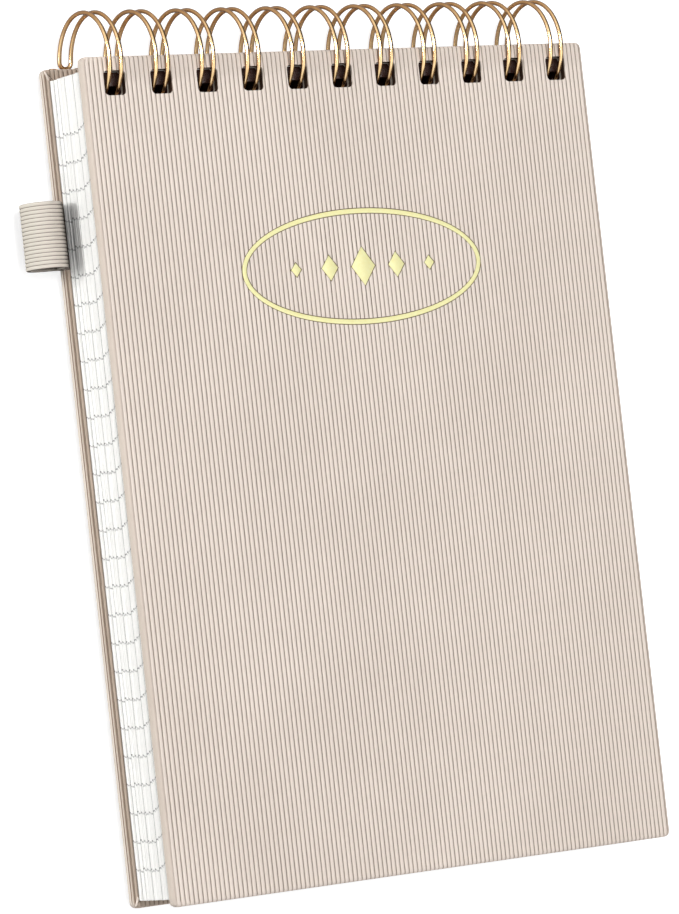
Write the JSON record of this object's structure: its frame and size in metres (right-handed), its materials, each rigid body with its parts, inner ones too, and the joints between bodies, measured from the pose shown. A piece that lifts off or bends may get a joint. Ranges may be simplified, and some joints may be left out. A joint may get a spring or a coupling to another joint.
{
  "type": "pocket notebook",
  "caption": "Top-bound pocket notebook with hard ribbed-cloth covers, twin-loop wire binding, ruled leaves that turn, and an elastic pen loop.",
  "frame": {"origin": "centre of the back cover's outer face", "axes": "+X across the width, +Y towards the wire-bound top edge, +Z from the back cover to the front cover"},
  "size_m": [0.1034, 0.1402, 0.0161],
  "materials": {
    "ribbed_cloth": "ribbed cloth",
    "greyboard": "matt",
    "endpaper": "matt",
    "elastic": "ribbed elastic",
    "gold_wire": "polished",
    "ruled_paper": "matt",
    "gold_foil": "hot foil"
  },
  "bodies": {
    "back_cover": {"back_cover_wrap": "ribbed_cloth", "back_cover_board": "greyboard", "back_endpaper": "endpaper", "pen_loop": "elastic", "twin_loop_wire": "gold_wire", "leaf_block": "ruled_paper"},
    "front_cover": {"front_cover_wrap": "ribbed_cloth", "front_cover_board": "greyboard", "front_endpaper": "endpaper", "foil_oval": "gold_foil", "foil_ornament": "gold_foil"},
    "leaf_01": {"leaf_01": "ruled_paper"},
    "leaf_02": {"leaf_02": "ruled_paper"},
    "leaf_03": {"leaf_03": "ruled_paper"},
    "leaf_04": {"leaf_04": "ruled_paper"},
    "leaf_05": {"leaf_05": "ruled_paper"},
    "leaf_06": {"leaf_06": "ruled_paper"},
    "leaf_07": {"leaf_07": "ruled_paper"},
    "leaf_08": {"leaf_08": "ruled_paper"},
    "leaf_09": {"leaf_09": "ruled_paper"},
    "leaf_10": {"leaf_10": "ruled_paper"}
  },
  "joints": [
    {"name": "cover_flip", "type": "hinge", "parent": "back_cover", "child": "front_cover", "pos_m": [0, 0.0662, 0.0069], "axis": [-1, 0, 0], "range_deg": [0, 180]},
    {"name": "leaf_01_turn", "type": "hinge", "parent": "back_cover", "child": "leaf_01", "pos_m": [0, 0.0662, 0.0069], "axis": [-1, 0, 0], "range_deg": [0, 180]},
    {"name": "leaf_02_turn", "type": "hinge", "parent": "back_cover", "child": "leaf_02", "pos_m": [0, 0.0662, 0.0069], "axis": [-1, 0, 0], "range_deg": [0, 180]},
    {"name": "leaf_03_turn", "type": "hinge", "parent": "back_cover", "child": "leaf_03", "pos_m": [0, 0.0662, 0.0069], "axis": [-1, 0, 0], "range_deg": [0, 180]},
    {"name": "leaf_04_turn", "type": "hinge", "parent": "back_cover", "child": "leaf_04", "pos_m": [0, 0.0662, 0.0069], "axis": [-1, 0, 0], "range_deg": [0, 180]},
    {"name": "leaf_05_turn", "type": "hinge", "parent": "back_cover", "child": "leaf_05", "pos_m": [0, 0.0662, 0.0069], "axis": [-1, 0, 0], "range_deg": [0, 180]},
    {"name": "leaf_06_turn", "type": "hinge", "parent": "back_cover", "child": "leaf_06", "pos_m": [0, 0.0662, 0.0069], "axis": [-1, 0, 0], "range_deg": [0, 180]},
    {"name": "leaf_07_turn", "type": "hinge", "parent": "back_cover", "child": "leaf_07", "pos_m": [0, 0.0662, 0.0069], "axis": [-1, 0, 0], "range_deg": [0, 180]},
    {"name": "leaf_08_turn", "type": "hinge", "parent": "back_cover", "child": "leaf_08", "pos_m": [0, 0.0662, 0.0069], "axis": [-1, 0, 0], "range_deg": [0, 180]},
    {"name": "leaf_09_turn", "type": "hinge", "parent": "back_cover", "child": "leaf_09", "pos_m": [0, 0.0662, 0.0069], "axis": [-1, 0, 0], "range_deg": [0, 180]},
    {"name": "leaf_10_turn", "type": "hinge", "parent": "back_cover", "child": "leaf_10", "pos_m": [0, 0.0662, 0.0069], "axis": [-1, 0, 0], "range_deg": [0, 180]}
  ],
  "couplings": [
    {"joint": "leaf_01_turn", "follows": "cover_flip", "ratio": 0.95},
    {"joint": "leaf_02_turn", "follows": "cover_flip", "ratio": 0.88},
    {"joint": "leaf_03_turn", "follows": "cover_flip", "ratio": 0.81},
    {"joint": "leaf_04_turn", "follows": "cover_flip", "ratio": 0.74},
    {"joint": "leaf_05_turn", "follows": "cover_flip", "ratio": 0.67},
    {"joint": "leaf_06_turn", "follows": "cover_flip", "ratio": 0.6},
    {"joint": "leaf_07_turn", "follows": "cover_flip", "ratio": 0.53},
    {"joint": "leaf_08_turn", "follows": "cover_flip", "ratio": 0.46},
    {"joint": "leaf_09_turn", "follows": "cover_flip", "ratio": 0.39},
    {"joint": "leaf_10_turn", "follows": "cover_flip", "ratio": 0.32}
  ]
}
